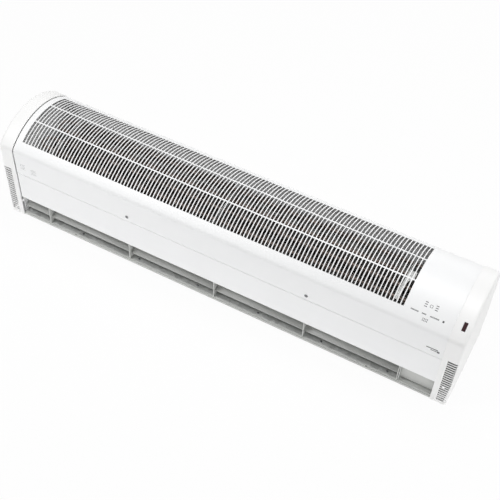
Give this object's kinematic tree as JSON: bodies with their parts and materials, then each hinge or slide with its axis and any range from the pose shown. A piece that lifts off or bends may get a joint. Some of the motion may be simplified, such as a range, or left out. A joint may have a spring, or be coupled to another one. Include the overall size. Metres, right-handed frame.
{
  "type": "air curtain",
  "caption": "Long electric air curtain with a curved slotted inlet grille, a divided outlet slot with a tilting guide vane, a crossflow fan and domed end caps.",
  "frame": {"origin": "centre of the whole part's footprint on the wall side, which is the lowest face", "axes": "+X along the unit towards the end with the receiver window, +Y from the outlet face to the far side (up once hung), +Z from the wall plate to the curved grille"},
  "size_m": [1.1, 0.209, 0.2484],
  "materials": {
    "casing_paint": "white powder coat, satin",
    "cap_plastic": "white moulded plastic, satin",
    "rail_paint": "grey powder coat, satin",
    "zinc_sheet": "galvanised sheet, spangled",
    "rotor_metal": "dark anodised",
    "shaft_steel": "ground steel",
    "rubber_black": "black rubber, matte",
    "bronze": "sintered bronze",
    "motor_core": "varnished laminations",
    "winding_copper": "enamelled copper wire",
    "motor_alloy": "die-cast, matte",
    "heater_steel": "heat-tinted steel",
    "board_green": "lacquered circuit board",
    "nylon_white": "natural nylon",
    "cutout_black": "black phenolic",
    "relay_blue": "blue moulded plastic",
    "capacitor_case": "off-white moulded case",
    "window_red": "deep red, smooth",
    "screw_dark": "dark passivated steel",
    "screw_zinc": "zinc plated steel"
  },
  "bodies": {
    "housing": {"wall_plate": "casing_paint", "outlet_rail": "rail_paint", "grille_cover": "casing_paint", "front_panel": "casing_paint", "cover_screws": "screw_dark", "outlet_dividers": "casing_paint", "outlet_blank": "casing_paint", "fan_scroll": "zinc_sheet", "vortex_tongue": "zinc_sheet", "left_end_plate": "zinc_sheet", "right_bulkhead": "zinc_sheet", "bearing_mount": "rubber_black", "bearing_bush": "bronze", "motor_stator": "motor_core", "motor_windings": "winding_copper", "motor_front_bell": "motor_alloy", "motor_rear_bell": "motor_alloy", "motor_spacers": "rubber_black", "heater_rods": "heater_steel", "heater_brackets": "zinc_sheet", "thermal_cutout": "cutout_black", "controls_tray": "zinc_sheet", "control_board": "board_green", "board_spacers": "nylon_white", "relays": "relay_blue", "terminal_block": "nylon_white", "motor_capacitor": "capacitor_case", "cable_grommet": "rubber_black", "left_end_cap": "cap_plastic", "right_end_cap": "cap_plastic", "receiver_window": "window_red", "receiver_board": "board_green", "cap_screws": "screw_zinc", "floor_screws": "screw_dark", "rail_screws": "screw_dark", "casing_screws": "screw_zinc"},
    "fan": {"fan_rotor": "rotor_metal", "rotor_stub_shaft": "shaft_steel", "rotor_hub": "rubber_black", "motor_shaft": "shaft_steel", "motor_rotor": "motor_core"},
    "vane": {"guide_vane": "rail_paint", "vane_rod": "shaft_steel"}
  },
  "joints": [
    {"name": "fan_spin", "type": "hinge", "parent": "housing", "child": "fan", "pos_m": [0, 0.0318, 0.086], "axis": [1, 0, 0], "continuous": true},
    {"name": "vane_tilt", "type": "hinge", "parent": "housing", "child": "vane", "pos_m": [0, -0.0805, 0.03325], "axis": [1, 0, 0], "range_deg": [-35, 15]}
  ]
}
